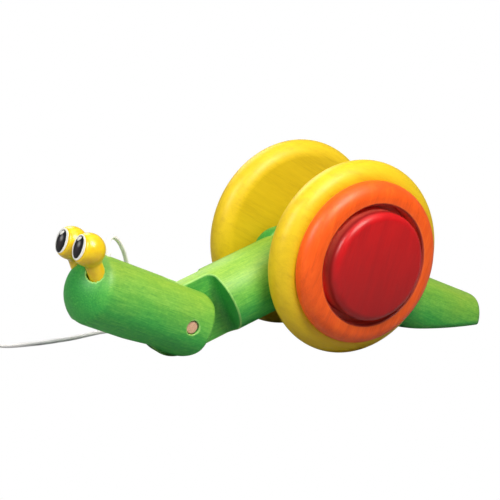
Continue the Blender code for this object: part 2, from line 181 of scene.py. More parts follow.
def head_shape(u, v, w):
    relief = math.sin(RELIEF_TILT) * (RELIEF_START - u) - math.cos(RELIEF_TILT) * (w + DOWEL_R)
    du = u - PIN_IN_HEAD.x
    dw = w - PIN_IN_HEAD.z
    knuckle = np.hypot(du, dw) - FRONT_TONGUE_R
    under = -rounded_meet(-relief, -knuckle, 2.0 * MM)
    side = np.maximum(cheek_outline(u, w, HEAD_CHEEK_END, *HEAD_CHEEK_CORNERS), under)
    solid = rounded_meet(np.hypot(v, w) - DOWEL_R, side, CHEEK_FILLET)
    solid = rounded_meet(solid, dome(u, v, w, HEAD_LENGTH, HEAD_DOME), DOME_FILLET)
    blind = du * math.cos(HEAD_SLOT_SLANT) + dw * math.sin(HEAD_SLOT_SLANT) - FRONT_TONGUE_R - SLOT_REACH
    solid = rounded_meet(solid, -np.maximum(np.abs(v) - SLOT_HALF, blind), EDGE)
    solid = drilled(solid, u, w, PIN_IN_HEAD.x, PIN_IN_HEAD.z, PIN_R + GAP)
    for sign in (-1.0, 1.0):
        eye_u = u - EYE_ALONG
        eye_v = v - sign * EYE_SPREAD
        eye_w = w - (LEFT_EYE_ABOVE if sign < 0.0 else RIGHT_EYE_ABOVE)
        down = -eye_u * math.cos(STALK_TILT) - eye_w * math.sin(STALK_TILT)
        away = np.sqrt(np.maximum(eye_u**2 + eye_v**2 + eye_w**2 - down**2, 0.0))
        socket = np.maximum(away - STALK_R - 0.1 * MM, np.maximum(-down, down - STALK_LENGTH))
        solid = rounded_meet(solid, -socket, 0.2 * MM)
    round_cord = np.hypot(u - CORD_HOLE_ALONG, v)
    solid = rounded_meet(solid, CORD_R + 0.5 * MM - round_cord, HOLE_EDGE)
    pocket = np.maximum(round_cord - KNOT_R - 1.0 * MM, w + DOWEL_R - KNOT_POCKET_DEPTH)
    return rounded_meet(solid, -pocket, HOLE_EDGE)


def link_shape(u, v, w):
    front = np.hypot(np.minimum(u - PIN_IN_LINK.x, 0.0), w - PIN_IN_LINK.z) - FRONT_TONGUE_R
    rear = np.hypot(np.maximum(u - LINK_LENGTH, 0.0), w) - REAR_TONGUE_R
    ends = np.where(u < PIN_IN_LINK.x, front, np.where(u > LINK_LENGTH, rear, -DOWEL_R))
    solid = rounded_meet(np.hypot(v, w) - DOWEL_R, ends, TONGUE_FILLET)
    du = u - PIN_IN_LINK.x
    dw = w - PIN_IN_LINK.z
    wall = du * math.cos(SCOOP_SLANT) + dw * math.sin(SCOOP_SLANT) - SCOOP_REACH
    beside = TONGUE_HALF - np.abs(v)
    solid = rounded_meet(solid, -rounded_meet(wall, beside, SCOOP_COVE), EDGE)
    rear_scoop = np.maximum(np.hypot(u - LINK_LENGTH, w) - REAR_SCOOP_R, beside)
    solid = rounded_meet(solid, -rear_scoop, EDGE)
    solid = drilled(solid, u, w, PIN_IN_LINK.x, PIN_IN_LINK.z, PIN_R + GAP)
    return drilled(solid, u, w, LINK_LENGTH, 0.0, AXLE_R + GAP)


def tail_shape(u, v, w):
    side = cheek_outline(u, w, TAIL_CHEEK_END, DOWEL_R, DOWEL_R)
    solid = rounded_meet(np.hypot(v, w) - DOWEL_R, side, TAIL_CHEEK_FILLET)
    height = AXLE.z + u * math.sin(TAIL_TILT) + w * math.cos(TAIL_TILT)
    solid = rounded_meet(solid, -height, FOOT_FILLET)
    solid = rounded_meet(solid, dome(u, v, w, TAIL_LENGTH, TAIL_DOME), DOME_FILLET)
    slot = np.maximum(np.abs(v) - SLOT_HALF, u - REAR_TONGUE_R - SLOT_REACH)
    solid = rounded_meet(solid, -slot, EDGE)
    return drilled(solid, u, w, 0.0, 0.0, AXLE_R + GAP)


def eye_shape(x, y, z):
    """A ball on a flared stalk; Z runs down the stalk and the flat face looks forward."""
    ball = np.sqrt(x**2 + y**2 + z**2) - EYE_R
    away = np.hypot(x, y)
    stalk = rounded_meet(away - STALK_R, z - STALK_LENGTH, 0.8 * MM)
    stalk = np.maximum(stalk, -z)
    solid = rounded_join(ball, stalk, 1.4 * MM)
    look = EYE_TURN.transposed() @ EYE_LOOK
    face = x * look.x + y * look.y + z * look.z - EYE_FACE_DEPTH
    return rounded_meet(solid, face, 0.9 * MM)


# ---------------------------------------------------------------- meshes

def slopes(shape, points, reach=0.05 * MM):
    """Gradient of a signed distance at rows of points."""
    parts = []
    for axis in range(3):
        shift = np.zeros(3)
        shift[axis] = reach
        ahead = shape(*(points + shift).T)
        behind = shape(*(points - shift).T)
        parts.append((ahead - behind) / (2.0 * reach))
    return np.stack(parts, axis=1)


def net_mesh(name, shape, low, high, step):
    """Quads over the zero surface of a signed distance, one vertex in each cell the surface crosses."""
    low = np.array(low)
    counts = np.ceil((np.array(high) - low) / step).astype(int) + 1
    lines = [low[axis] + step * np.arange(counts[axis]) for axis in range(3)]
    grid = shape(*np.meshgrid(*lines, indexing="ij"))
    inside = grid < 0.0
    corners = [(i, j, k) for i in (0, 1) for j in (0, 1) for k in (0, 1)]

    def at_corner(values, corner):
        spans = tuple(slice(c, c + n - 1) for c, n in zip(corner, counts))
        return values[spans]

    filled = sum(at_corner(inside, corner).astype(np.int8) for corner in corners)
    mixed = (filled > 0) & (filled < 8)
    cells = np.argwhere(mixed)
    number = np.full(mixed.shape, -1)
    number[mixed] = np.arange(len(cells))
    total = np.zeros((len(cells), 3))
    crossings = np.zeros(len(cells))
    for corner in corners:
        for axis in range(3):
            if corner[axis] == 1:
                continue
            other = tuple(c + (1 if a == axis else 0) for a, c in enumerate(corner))
            value = at_corner(grid, corner)[mixed]
            beyond = at_corner(grid, other)[mixed]
            crossed = (value < 0.0) != (beyond < 0.0)
            share = np.where(crossed, value / np.where(crossed, value - beyond, 1.0), 0.0)
            point = np.tile(np.array(corner, float), (len(cells), 1))
            point[:, axis] += share
            total += point * crossed[:, None]
            crossings += crossed
    points = low + step * (cells + total / crossings[:, None])
    for _ in range(4):
        gradient = slopes(shape, points)
        size = np.maximum((gradient**2).sum(1), 0.25)
        move = -(shape(*points.T) / size)[:, None] * gradient
        points = points + np.clip(move, -0.4 * step, 0.4 * step)

    quads = []
    for axis in range(3):
        first, second = [a for a in range(3) if a != axis]
        here = [slice(None)] * 3
        there = [slice(None)] * 3
        here[axis] = slice(0, -1)
        there[axis] = slice(1, None)
        change = inside[tuple(here)] != inside[tuple(there)]
        rising = inside[tuple(here)]
        index = np.argwhere(change)
        keep = (index[:, first] > 0) & (index[:, second] > 0)
        index = index[keep]
        out = rising[change][keep]
        around = []
        for step_first, step_second in ((-1, -1), (0, -1), (0, 0), (-1, 0)):
            cell = index.copy()
            cell[:, first] += step_first
            cell[:, second] += step_second
            around.append(number[cell[:, 0], cell[:, 1], cell[:, 2]])
        faces = np.stack(around, axis=1)
        flip = out if axis == 1 else ~out
        faces[flip] = faces[flip][:, ::-1]
        quads.append(faces)
    mesh = bpy.data.meshes.new(name)
    mesh.from_pydata(points.tolist(), [], np.concatenate(quads).tolist())
    mesh.validate()
    mesh.shade_smooth()
    mark_wear(mesh)
    return mesh


def mark_wear(mesh):
    """Store how sharply the surface bends outwards at each vertex, per millimetre, as the attribute wear."""
    count = len(mesh.vertices)
    places = np.empty(count * 3, np.float32)
    mesh.vertices.foreach_get("co", places)
    places = places.reshape(-1, 3).astype(float)
    normals = np.empty(count * 3, np.float32)
    mesh.vertex_normals.foreach_get("vector", normals)
    normals = normals.reshape(-1, 3).astype(float)
    edges = np.empty(len(mesh.edges) * 2, np.int32)
    mesh.edges.foreach_get("vertices", edges)
    a, b = edges.reshape(-1, 2).T
    along = places[b] - places[a]
    bend = ((normals[b] - normals[a]) * along).sum(1) / np.maximum((along**2).sum(1), 1e-12) * MM
    sharpest = np.zeros(count)
    np.maximum.at(sharpest, a, bend)
    np.maximum.at(sharpest, b, bend)
    wear_and_strand_shade = mesh.attributes.new("wear_and_strand_shade", "FLOAT", "POINT")
    wear_and_strand_shade.data.foreach_set("value", np.clip(sharpest, 0.0, 3.0).astype(np.float32))


def skin(bm, rings, closed_rows=False):
    """Join rows of equally many points; a row of one point closes an end."""
    rows = [[bm.verts.new(point) for point in ring] for ring in rings]
    pairs = list(zip(rows, rows[1:]))
    if closed_rows:
        pairs.append((rows[-1], rows[0]))
    for low, high in pairs:
        count = max(len(low), len(high))
        for i in range(count):
            j = (i + 1) % count
            corners = [low[i % len(low)], low[j % len(low)], high[j % len(high)], high[i % len(high)]]
            bm.faces.new(list(dict.fromkeys(corners)))


def arc(centre_r, centre_h, radius_r, radius_h, start, end, steps):
    points = []
    for i in range(steps + 1):
        angle = math.radians(start + (end - start) * i / steps)
        points.append((centre_r + radius_r * math.cos(angle), centre_h + radius_h * math.sin(angle)))
    return points


def turned(name, profile, segments=176, closed=False):
    """Spin (radius, height) points about Z; points of no radius close the ends."""
    bm = bmesh.new()
    rings = []
    for radius, height in profile:
        if radius < 1e-7:
            rings.append([(0.0, 0.0, height)])
            continue
        angles = [2.0 * math.pi * i / segments for i in range(segments)]
        rings.append([(radius * math.cos(a), radius * math.sin(a), height) for a in angles])
    skin(bm, rings, closed)
    return finished(name, bm)


def finished(name, bm):
    bmesh.ops.recalc_face_normals(bm, faces=bm.faces)
    if bm.calc_volume(signed=True) < 0.0:
        bmesh.ops.reverse_faces(bm, faces=bm.faces)
    mesh = bpy.data.meshes.new(name)
    bm.to_mesh(mesh)
    bm.free()
    mesh.shade_smooth()
    mark_wear(mesh)
    return mesh


def place(name, mesh, material, body, matrix=Matrix.Identity(4), stands_for=()):
    """Put a piece in the scene, riding on a body of the frame."""
    obj = bpy.data.objects.new(name, mesh)
    obj.matrix_world = matrix
    bpy.context.scene.collection.objects.link(obj)
    if material is not None:
        mesh.materials.append(material)
    if body is not None:
        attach(obj, body)
    if stands_for:
        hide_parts(*stands_for)
    return obj


def across(sign=1.0):
    """Turn a piece made about Z so that its axis points along +Y or -Y."""
    return Matrix.Rotation(-sign * math.pi / 2.0, 4, "X")


# ---------------------------------------------------------------- materials

class Shader:
    """A short way to write a node tree."""

    def __init__(self, name):
        self.material = bpy.data.materials.new(name)
        self.material.use_nodes = True
        self.tree = self.material.node_tree
        self.surface = self.tree.nodes["Principled BSDF"]

    def node(self, kind, props=None, **inputs):
        made = self.tree.nodes.new(kind)
        for key, value in (props or {}).items():
            setattr(made, key, value)
        for key, value in inputs.items():
            self.put(made.inputs[key.replace("_", " ")], value)
        return made

    def put(self, socket, value):
        if isinstance(value, bpy.types.NodeSocket):
            self.tree.links.new(value, socket)
        else:
            socket.default_value = value

    def math(self, operation, *values, clamp=False):
        made = self.tree.nodes.new("ShaderNodeMath")
        made.operation = operation
        made.use_clamp = clamp
        for socket, value in zip(made.inputs, values):
            self.put(socket, value)
        return made.outputs[0]

    def remap(self, value, low, high, to_low=0.0, to_high=1.0):
        made = self.node("ShaderNodeMapRange", {"clamp": True}, Value=value)
        for key, number in (("From Min", low), ("From Max", high), ("To Min", to_low), ("To Max", to_high)):
            self.put(made.inputs[key], number)
        return made.outputs["Result"]

    def ramp(self, value, stops):
        made = self.node("ShaderNodeValToRGB", Fac=value)
        elements = made.color_ramp.elements
        while len(elements) < len(stops):
            elements.new(0.5)
        for element, (position, colour) in zip(elements, stops):
            element.position = position
            element.color = colour
        return made.outputs["Color"]

    def mix(self, share, a, b, blend="MIX"):
        made = self.tree.nodes.new("ShaderNodeMix")
        made.data_type = "RGBA"
        made.blend_type = blend
        self.put(made.inputs[0], share)
        self.put(made.inputs[6], a)
        self.put(made.inputs[7], b)
        return made.outputs[2]

    def coordinates(self, stretch=(1.0, 1.0, 1.0), turn=(0.0, 0.0, 0.0), shift=(0.0, 0.0, 0.0)):
        """Object coordinates in millimetres, squeezed along each axis."""
        source = self.node("ShaderNodeTexCoord").outputs["Object"]
        turned_to = self.node("ShaderNodeMapping", Vector=source, Rotation=turn, Location=shift)
        scaled = self.node("ShaderNodeMapping", Vector=turned_to.outputs[0])
        scaled.inputs["Scale"].default_value = [s / MM for s in stretch]
        return scaled.outputs[0]

    def noise(self, vector, scale, detail=4.0, roughness=0.55, distortion=0.0):
        made = self.node("ShaderNodeTexNoise", Vector=vector, Scale=scale, Detail=detail,
                         Roughness=roughness, Distortion=distortion)
        return made.outputs["Fac"]

    def bump(self, height, strength, distance, normal=None):
        made = self.node("ShaderNodeBump", Height=height, Strength=strength, Distance=distance)
        if normal is not None:
            self.put(made.inputs["Normal"], normal)
        return made.outputs["Normal"]

    def finish(self, colour, roughness, normal=None, coat=0.0, coat_roughness=0.2, sheen=0.0, specular=0.5):
        self.put(self.surface.inputs["Base Color"], colour)
        self.put(self.surface.inputs["Roughness"], roughness)
        self.put(self.surface.inputs["Coat Weight"], coat)
        self.put(self.surface.inputs["Coat Roughness"], coat_roughness)
        self.put(self.surface.inputs["Sheen Weight"], sheen)
        self.put(self.surface.inputs["Specular IOR Level"], specular)
        if normal is not None:
            self.put(self.surface.inputs["Normal"], normal)
        return self.material


def grain_fields(shader, along, turn, shift):
    """Broad streaks, fine streaks and soft blotches of wood whose grain runs along one axis."""
    squeeze = [1.0, 1.0, 1.0]
    squeeze[along] = 0.08
    streak_space = shader.coordinates(squeeze, turn, shift)
    squeeze[along] = 0.06
    fibre_space = shader.coordinates(squeeze, turn, shift)
    even_space = shader.coordinates((1.0, 1.0, 1.0), turn, shift)
    broad = shader.noise(streak_space, 0.22, 5.0, 0.6, 0.4)
    fine = shader.noise(fibre_space, 1.9, 4.0, 0.65, 0.15)
    blotch = shader.noise(even_space, 0.05, 3.0, 0.5)
    return broad, fine, blotch, even_space


def facing(shader, turn=(0.0, 0.0, 0.0)):
    """The surface's direction along the piece's own axes."""
    normal = shader.node("ShaderNodeTexCoord").outputs["Normal"]
    turned_to = shader.node("ShaderNodeMapping", {"vector_type": "VECTOR"}, Vector=normal, Rotation=turn)
    return shader.node("ShaderNodeSeparateXYZ", Vector=turned_to.outputs[0]).outputs


def end_grain(shader, side):
    """How squarely the surface cuts across the grain, from 0 to 1."""
    return shader.remap(shader.math("ABSOLUTE", side), 0.25, 0.95)


def green_wood(name, turn, shift):
    """Green stain over straight grain, deeper on end grain, with painted light and shade: yellowed and
    lighter on upward faces, deeper on faces turned down.
    """
    shader = Shader(name)
    broad, fine, blotch, even_space = grain_fields(shader, 0, turn, shift)
    flecks = shader.noise(even_space, 0.55, 5.0, 0.7)
    body = shader.math("ADD", shader.math("MULTIPLY", broad, 0.20), shader.math("MULTIPLY", fine, 0.50))
    body = shader.math("ADD", body, shader.math("MULTIPLY", flecks, 0.30))
    # Lit and shaded tones of one stain: yellowed for upward faces as painted light, deeper blue-green as
    # painted shade below
    top = shader.ramp(body, [
        (0.38, linear(104, 160, 48)),
        (0.50, linear(132, 178, 54)),
        (0.62, linear(156, 192, 72)),
    ])
    low = shader.ramp(body, [
        (0.38, linear(34, 148, 60)),
        (0.50, linear(54, 172, 68)),
        (0.62, linear(92, 192, 78)),
    ])
    # Faces turned up, with some blotching, take the lit tone: painted light and shade by facing
    along, _, upward = facing(shader, turn)
    painted_light_share = shader.math("ADD", upward, shader.math("MULTIPLY", blotch, 0.6))
    side = shader.mix(shader.remap(painted_light_share, 0.0, 1.15), low, top)
    speckle = shader.noise(even_space, 1.1, 4.0, 0.6)
    cut = shader.ramp(speckle, [
        (0.30, linear(24, 126, 50)),
        (0.55, linear(42, 150, 56)),
        (0.75, linear(84, 178, 72)),
    ])
    colour = shader.mix(end_grain(shader, along), side, cut)
    wear_and_strand_shade = shader.node("ShaderNodeAttribute", {"attribute_name": "wear_and_strand_shade"}).outputs["Fac"]
    rubbed = shader.remap(shader.math("ADD", wear_and_strand_shade, shader.math("MULTIPLY", fine, 0.35)), 0.5, 1.3, 0.0, 0.55)
    colour = shader.mix(rubbed, colour, linear(168, 218, 120))
    roughness = shader.remap(fine, 0.3, 0.7, 0.44, 0.60)
    ridge = shader.bump(fine, 0.22, 0.10 * MM)
    ridge = shader.bump(flecks, 0.10, 0.15 * MM, ridge)
    return shader.finish(colour, roughness, ridge, coat=0.08, coat_roughness=0.34)


Stain = namedtuple("Stain", "dark middle light rubbed gloss contrast core_r")

# Heights over the toy's middle plane and distances, in millimetres, that bound the painted light and shade in
# the gap round a cap
GAP_FLOOR = 41.0
GAP_SHADE = (49.0, 54.5)
CAP_WALL_TOP = (55.6, 57.6)
CORE_FADE = 0.5
# Heights over a cap's middle across which painted shade darkens its lower part
LOW_SHADE_SPAN = (-30.0, 25.0)


def stained_wood(name, turn, shift, stain, lean):
    """An opaque bright stain on a turned disc, whose grain runs straight across it along its local Y.

    The gap round the caps gets painted light and shade in red: bright red painted bounce light deep in, dark
    red painted shade near its mouth and on a cap's lower wall.  A cap (core_r 0) also gets painted shade,
    darker on the side that lean, 1 or -1, leaves at negative local Y.
    """
    shader = Shader(name)
    broad, fine, blotch, _ = grain_fields(shader, 1, turn, shift)
    body = shader.math("ADD", shader.math("MULTIPLY", broad, 0.6), shader.math("MULTIPLY", fine, 0.4))
    spread = 0.22 / stain.contrast
    middle = linear(*stain.middle)
    colour = shader.ramp(body, [
        (0.5 - spread, linear(*stain.dark)),
        (0.5, middle),
        (0.5 + spread, linear(*stain.light)),
    ])
    colour = shader.mix(shader.remap(blotch, 0.35, 0.7, 0.0, 0.3), colour, middle)
    wear_and_strand_shade = shader.node("ShaderNodeAttribute", {"attribute_name": "wear_and_strand_shade"}).outputs["Fac"]
    rubbed = shader.remap(shader.math("ADD", wear_and_strand_shade, shader.math("MULTIPLY", fine, 0.3)), 0.5, 1.3, 0.0, 0.35)
    colour = shader.mix(rubbed, colour, linear(*stain.rubbed))
    x, y, height = shader.node("ShaderNodeSeparateXYZ", Vector=shader.coordinates()).outputs
    if stain.core_r > 0.0:
        away = shader.math("SQRT", shader.math("ADD", shader.math("POWER", x, 2.0),
                                               shader.math("POWER", y, 2.0)))
        core = shader.remap(away, stain.core_r - CORE_FADE, stain.core_r, 1.0, 0.0)
        # The outer face inside core_r, down in the gap round a cap, takes the painted light and shade
        gap = shader.math("MULTIPLY", core, shader.math("GREATER_THAN", height, GAP_FLOOR))
    else:
        # Painted shade: the cap darkens towards the side where lean times local Y is lowest
        painted_low_shade = shader.remap(shader.math("MULTIPLY", y, lean), *LOW_SHADE_SPAN, 0.6, 0.0)
        colour = shader.mix(painted_low_shade, colour, linear(124, 6, 12))
        # A cap's side wall below its mouth takes the gap's painted light and shade
        gap = shader.remap(height, *CAP_WALL_TOP, 1.0, 0.0)
    # Bright red painted bounce light deep in the gap, dark red painted shade towards its mouth
    painted_gap_light_and_shade = shader.mix(shader.remap(height, *GAP_SHADE), linear(255, 110, 90), linear(132, 24, 24))
    colour = shader.mix(gap, colour, painted_gap_light_and_shade)
    gloss = stain.gloss
    roughness = shader.remap(fine, 0.3, 0.7, gloss, gloss + 0.12)
    ridge = shader.bump(fine, 0.3, 0.08 * MM)
    return shader.finish(colour, roughness, ridge, coat=0.06, coat_roughness=gloss * 0.7, specular=0.35)


def plain_wood(name, along, shift):
    shader = Shader(name)
    broad, fine, blotch, even_space = grain_fields(shader, along, (0.0, 0.0, 0.0), shift)
    body = shader.math("ADD", shader.math("MULTIPLY", broad, 0.5), shader.math("MULTIPLY", fine, 0.5))
    side = shader.ramp(body, [
        (0.3, linear(188, 138, 92)),
        (0.52, linear(220, 176, 128)),
        (0.72, linear(236, 204, 164)),
    ])
    pores = shader.noise(even_space, 2.2, 3.0, 0.6)
    cut = shader.ramp(pores, [
        (0.35, linear(196, 140, 112)),
        (0.6, linear(238, 194, 166)),
    ])
    colour = shader.mix(end_grain(shader, facing(shader)[along]), side, cut)
    ridge = shader.bump(fine, 0.35, 0.1 * MM)
    return shader.finish(colour, 0.6, ridge)


def painted(name, colour, shade, roughness, coat):
    """Thick glossy paint with the faint unevenness of a brushed or dipped coat."""
    shader = Shader(name)
    space = shader.coordinates()
    mottling = shader.noise(space, 0.35, 3.0, 0.5)
    tone = shader.mix(shader.remap(mottling, 0.35, 0.7), shade, colour)
    dimples = shader.noise(space, 0.9, 2.0, 0.5)
    ridge = shader.bump(dimples, 0.12, 0.1 * MM)
    return shader.finish(tone, roughness, ridge, coat=coat, coat_roughness=0.08)


def cord_cotton(name):
    shader = Shader(name)
    fuzz = shader.noise(shader.coordinates(), 5.0, 3.0, 0.7)
    # Painted shade in the valleys between the braid's strands, lighter tone on their crests
    wear_and_strand_shade = shader.node("ShaderNodeAttribute", {"attribute_name": "crest"}).outputs["Fac"]
    tone = shader.mix(shader.remap(wear_and_strand_shade, 0.0, 0.6), linear(204, 202, 206), linear(248, 246, 248))
    tone = shader.mix(shader.remap(fuzz, 0.3, 0.7, 0.0, 0.25), tone, linear(232, 230, 232))
    ridge = shader.bump(fuzz, 0.4, 0.05 * MM)
    return shader.finish(tone, 0.85, ridge, sheen=0.25, specular=0.2)


# ---------------------------------------------------------------- the three dowels

STEP = 0.6 * MM
MARGIN = 2.5 * MM


def build_dowel(name, shape, low_u, high_u, origin, axes, shift):
    reach = DOWEL_R + MARGIN
    mesh = net_mesh(name + "_shape", shape, (low_u - MARGIN, -reach, -reach),
                    (high_u + MARGIN, reach, reach), STEP)
    mesh.transform(axes)
    turn = axes.inverted().to_euler()
    place(name + "_dowel", mesh, green_wood(name + "_green_wood", turn, shift), name,
          Matrix.Translation(origin), (name,))


build_dowel("head", head_shape, -HEAD_CHEEK_END, HEAD_LENGTH, KNUCKLE, HEAD_AXES, (0.013, 0.027, 0.0))
build_dowel("body", link_shape, PIN_IN_LINK.x - FRONT_TONGUE_R, LINK_LENGTH + REAR_TONGUE_R,
            KNUCKLE, LINK_AXES, (0.211, -0.06, 0.03))
build_dowel("tail", tail_shape, -TAIL_CHEEK_END, TAIL_LENGTH, AXLE, TAIL_AXES, (-0.17, 0.09, -0.04))


def build_pin(name, node, radius, body, shift):
    low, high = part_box(node)
    half = (high.y - low.y) / 2.0
    rim = 0.5 * MM
    profile = [(0.0, -half), (radius - rim, -half), (radius - 0.25 * rim, -half + 0.25 * rim),
               (radius, -half + rim), (radius, half - rim), (radius - 0.25 * rim, half - 0.25 * rim),
               (radius - rim, half), (0.0, half)]
    centre = Vector(((low.x + high.x) / 2.0, 0.0, (low.z + high.z) / 2.0))
    place(name, turned(name + "_shape", profile, 48), plain_wood(name + "_wood", 2, shift), body,
          Matrix.Translation(centre) @ across(), (node,))


build_pin("head_pin_dowel", "head_pin", PIN_R, "head", (0.02, 0.05, 0.0))
build_pin("axle_dowel", "axle", AXLE_R, "wheels", (0.07, 0.01, 0.0))


# ---------------------------------------------------------------- wheels

WHEEL_EDGE = 9.4 * MM
WHEEL_STEP = 0.8 * MM
RING_HOLE_R = 37.1 * MM
RING_CROWN = (9.0 * MM, 8.5 * MM)
RING_LIP = 1.6 * MM
RING_FOOT = 1.0 * MM
HUB_EDGE = 5.0 * MM
HUB_CROWN = 0.25 * MM
STAINS = {
    "yellow": Stain((196, 160, 18), (218, 184, 24), (230, 196, 32), (244, 222, 90), 0.40, 1.0, 39.5),
    "orange": Stain((206, 72, 14), (236, 88, 18), (248, 106, 26), (250, 156, 92), 0.36, 1.2, 38.2),
    "red": Stain((160, 10, 16), (190, 14, 20), (210, 18, 22), (222, 28, 28), 0.30, 0.8, 0.0),
}


def wheel_profile(radius, inner, outer):
    middle = (inner + outer) / 2.0
    flat = radius - WHEEL_EDGE
    rim = arc(flat, middle, WHEEL_EDGE, outer - middle, -90.0, 90.0, 48)
    return [(0.0, inner), (flat * 0.5, inner), (flat - WHEEL_STEP, inner)] + rim + [
        (flat - WHEEL_STEP, outer), (flat * 0.5, outer), (0.0, outer)]


def ring_profile(radius, back, front):
    wide, deep = RING_CROWN
    crown = arc(radius - wide, front - deep, wide, deep, 0.0, 90.0, 28)
    lip = arc(RING_HOLE_R + RING_LIP, front - RING_LIP, RING_LIP, RING_LIP, 90.0, 180.0, 10)
    foot = arc(radius - RING_FOOT, back + RING_FOOT, RING_FOOT, RING_FOOT, -90.0, 0.0, 6)
    corner = 0.5 * MM
    return [(RING_HOLE_R, back), (RING_HOLE_R + corner, back)] + foot + crown + lip + [
        (RING_HOLE_R, back + corner)]


def hub_profile(radius, back, front):
    """A cap with a broad rounded edge and a face that rises a little to its middle."""
    rim = arc(radius - HUB_EDGE, front - HUB_CROWN - HUB_EDGE, HUB_EDGE, HUB_EDGE, 0.0, 90.0, 18)
    flat = radius - HUB_EDGE
    corner = 0.6 * MM
    face = []
    for i in range(1, 12):
        share = 1.0 - i / 12.0
        face.append((flat * share, front - HUB_CROWN * share**3))
    return [(0.0, back), (radius - corner, back), (radius, back + corner)] + rim + face + [(0.0, front)]


for side, sign in (("left", -1.0), ("right", 1.0)):
    turn = Matrix.Translation(WHEEL_CENTRE) @ across(sign)
    seed = 0.1 * sign
    layers = (
        ("shell_disc", "wheel", "yellow", (seed, 0.04, 0.2), 62.0, wheel_profile, False),
        ("shell_ring", "ring", "orange", (0.03, seed, 0.1), -18.0, ring_profile, True),
        ("shell_cap", "hub_cap", "red", (0.09, seed, 0.05), -14.0, hub_profile, False),
    )
    for name, node, kind, shift, grain, profile, open_middle in layers:
        low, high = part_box(f"{node}_{side}")
        inner, outer = sorted((abs(low.y), abs(high.y)))
        mesh = turned(f"{name}_{side}", profile((high.z - low.z) / 2.0, inner, outer), closed=open_middle)
        grain_turn = (0.0, 0.0, math.radians(grain * sign))
        wood = stained_wood(f"{kind}_{side}_wood", grain_turn, shift, STAINS[kind], -sign)
        place(f"{name}_{side}", mesh, wood, "wheels", turn, (f"{node}_{side}",))


# ---------------------------------------------------------------- eyes

EYE_LOOK = Vector((-math.cos(EYE_FACE_TILT), 0.0, math.sin(EYE_FACE_TILT)))
EYE_DOWN = HEAD_AXES.to_3x3() @ Vector((-math.cos(STALK_TILT), 0.0, -math.sin(STALK_TILT)))
EYE_TURN = EYE_DOWN.to_track_quat("Z", "Y").to_matrix()
FACE_R = math.sqrt(EYE_R**2 - EYE_FACE_DEPTH**2)
FACE_RISE = 0.45 * MM
PATCH_SUNK = 0.12 * MM
PATCH_CROWN = 0.10 * MM


def face_height(x, y):
    """Height of the gently crowned eye face over its flat."""
    return FACE_RISE * (1.0 - (x**2 + y**2) / FACE_R**2)


def eye_patch(name, outline, lift):
    """A thin painted patch that follows the crowned face: an outline shrunk in steps towards its middle."""
    middle = np.mean(outline, axis=0)
    steps = [(1.0, -PATCH_SUNK), (1.0, lift * 0.3), (0.975, lift * 0.8), (0.94, lift)]
    steps += [(share, lift + PATCH_CROWN * (1.0 - share)) for share in (0.8, 0.6, 0.4, 0.2)]
    rows = [[(*middle, face_height(*middle) - PATCH_SUNK)]]
    for share, height in steps:
        row = []
        for point in outline:
            x, y = middle + share * (np.array(point) - middle)
            row.append((x, y, face_height(x, y) + height))
        rows.append(row)
    rows.append([(*middle, face_height(*middle) + lift + PATCH_CROWN)])
    bm = bmesh.new()
    skin(bm, rows)
    return finished(name, bm)


def oval(centre, half_wide, half_tall, points=72):
    angles = [2.0 * math.pi * i / points for i in range(points)]
    return [(centre[0] + half_wide * math.cos(a), centre[1] + half_tall * math.sin(a)) for a in angles]


def glint(centre, half_wide, half_tall):
    """A wedge of light inside a pupil's upper left edge."""
    outer = [(0.90 * math.cos(a), 0.90 * math.sin(a)) for a in np.radians(np.linspace(84.0, 142.0, 16))]
    inner = [(-0.52, 0.42), (-0.36, 0.47), (-0.20, 0.54), (-0.04, 0.63), (0.10, 0.75)]
    return [(centre[0] + half_wide * x, centre[1] + half_tall * y) for x, y in outer + inner]


def pupil_paint(name, centre, half_wide, half_tall):
    """Glossy black with painted reflection: grey in the middle fading to black at the edge, and a soft grey
    painted highlight above the middle.
    """
    shader = Shader(name)
    source = shader.node("ShaderNodeTexCoord").outputs["Object"]
    space = shader.node("ShaderNodeMapping", {"vector_type": "TEXTURE"}, Vector=source,
                        Location=(*centre, 0.0), Scale=(half_wide, half_tall, 1.0)).outputs[0]
    x_in, y_in, _ = shader.node("ShaderNodeSeparateXYZ", Vector=space).outputs

    def part_of(value, middle, half):
        """Square of a value's distance from the middle, in halves of the oval."""
        return shader.math("POWER", shader.math("DIVIDE", shader.math("SUBTRACT", value, middle), half), 2.0)

    def away(x, y, wide, tall):
        return shader.math("SQRT", shader.math("ADD", part_of(x_in, x, wide), part_of(y_in, y, tall)))

    # Painted reflection: dark grey in the middle, fading to black towards the edge
    middle = shader.remap(away(0.0, -0.1, 0.8, 0.8), 0.2, 1.0)
    colour = shader.mix(middle, linear(46, 38, 42), linear(4, 4, 5))
    # Painted highlight: a soft grey spot above the middle
    painted_highlight = shader.remap(away(0.05, 0.26, 0.42, 0.34), 0.0, 1.0)
    colour = shader.mix(painted_highlight, linear(150, 150, 152), colour)
    return shader.finish(colour, 0.3, coat=0.3, coat_roughness=0.1)


white_paint = painted("eye_white_paint", linear(244, 244, 240), linear(228, 228, 222), 0.28, 0.5)
yellow_paint = painted("eye_yellow_paint", linear(238, 204, 26), linear(230, 188, 18), 0.3, 0.3)
WHITE_OVAL = ((-0.6 * MM, 0.0), 6.9 * MM, 7.4 * MM)
PUPILS = {"left": ((-0.95 * MM, 0.1 * MM), 5.05 * MM, 6.7 * MM),
          "right": ((-0.9 * MM, -0.4 * MM), 5.2 * MM, 6.75 * MM)}

